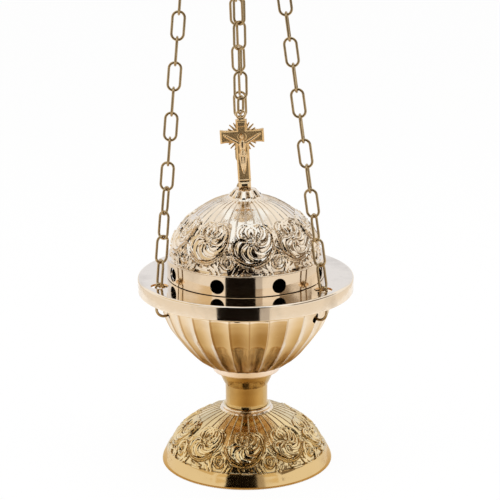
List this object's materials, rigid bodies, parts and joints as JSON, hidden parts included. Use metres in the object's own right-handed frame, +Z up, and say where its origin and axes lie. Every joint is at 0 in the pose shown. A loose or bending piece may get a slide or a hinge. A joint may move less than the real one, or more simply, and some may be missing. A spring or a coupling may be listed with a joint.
{
  "type": "hanging incense burner",
  "caption": "Polished brass hanging incense burner: fluted bowl on a domed foot, pierced sliding lid with a crucifix, three chains to a bow handle.",
  "frame": {"origin": "the inside top of the hanging ring, where a hook carries it", "axes": "+Z up, -Y towards the crucifix side, +X to the right as seen from there"},
  "size_m": [0.11, 0.11, 0.3336],
  "materials": {
    "polished_brass": "polished",
    "cast_brass": "cast, lightly polished",
    "chain_brass": "polished wire",
    "dark_iron": "dark, scaled by heat"
  },
  "bodies": {
    "ring": {"hanging_ring": "polished_brass"},
    "swivel": {"swivel_eye": "polished_brass"},
    "burner": {"bow_handle": "polished_brass", "top_plate": "polished_brass", "left_link_01": "chain_brass", "left_link_02": "chain_brass", "left_link_03": "chain_brass", "left_link_04": "chain_brass", "left_link_05": "chain_brass", "left_link_06": "chain_brass", "left_link_07": "chain_brass", "left_link_08": "chain_brass", "left_link_09": "chain_brass", "left_link_10": "chain_brass", "left_link_11": "chain_brass", "left_link_12": "chain_brass", "right_link_01": "chain_brass", "right_link_02": "chain_brass", "right_link_03": "chain_brass", "right_link_04": "chain_brass", "right_link_05": "chain_brass", "right_link_06": "chain_brass", "right_link_07": "chain_brass", "right_link_08": "chain_brass", "right_link_09": "chain_brass", "right_link_10": "chain_brass", "right_link_11": "chain_brass", "right_link_12": "chain_brass", "back_link_01": "chain_brass", "back_link_02": "chain_brass", "back_link_03": "chain_brass", "back_link_04": "chain_brass", "back_link_05": "chain_brass", "back_link_06": "chain_brass", "back_link_07": "chain_brass", "back_link_08": "chain_brass", "back_link_09": "chain_brass", "back_link_10": "chain_brass", "back_link_11": "chain_brass", "back_link_12": "chain_brass", "hook_left": "chain_brass", "hook_right": "chain_brass", "hook_back": "chain_brass", "rim_ring": "polished_brass", "bowl": "polished_brass", "stem": "polished_brass", "foot": "polished_brass", "tie_bolt": "dark_iron", "tie_nut": "dark_iron"},
    "lid": {"lid_dome": "polished_brass", "cross_finial": "cast_brass", "finial_nut": "dark_iron", "cross_ring": "chain_brass", "lid_link_1": "chain_brass", "lid_link_2": "chain_brass", "lid_link_3": "chain_brass", "lid_link_4": "chain_brass", "lid_link_5": "chain_brass"},
    "finger_ring": {"pull_ring": "polished_brass"},
    "cup": {"charcoal_cup": "dark_iron"}
  },
  "joints": [
    {"name": "ring_swing", "type": "hinge", "parent": "ring", "child": "swivel", "pos_m": [0, 0, -0.0245], "axis": [1, 0, 0], "range_deg": [-60, 60]},
    {"name": "swivel_turn", "type": "hinge", "parent": "swivel", "child": "burner", "pos_m": [0, 0, -0.0332], "axis": [0, 0, 1], "continuous": true},
    {"name": "lid_slide", "type": "slide", "parent": "burner", "child": "lid", "axis": [0, 0, 1], "range_m": [0, 0.01]},
    {"name": "pull_ring_fold", "type": "hinge", "parent": "lid", "child": "finger_ring", "pos_m": [0.00186, 0, -0.07793], "axis": [1, 0, 0], "range_deg": [0, 90]},
    {"name": "cup_lift", "type": "slide", "parent": "burner", "child": "cup", "axis": [0, 0, 1], "range_m": [0, 0.025]}
  ]
}
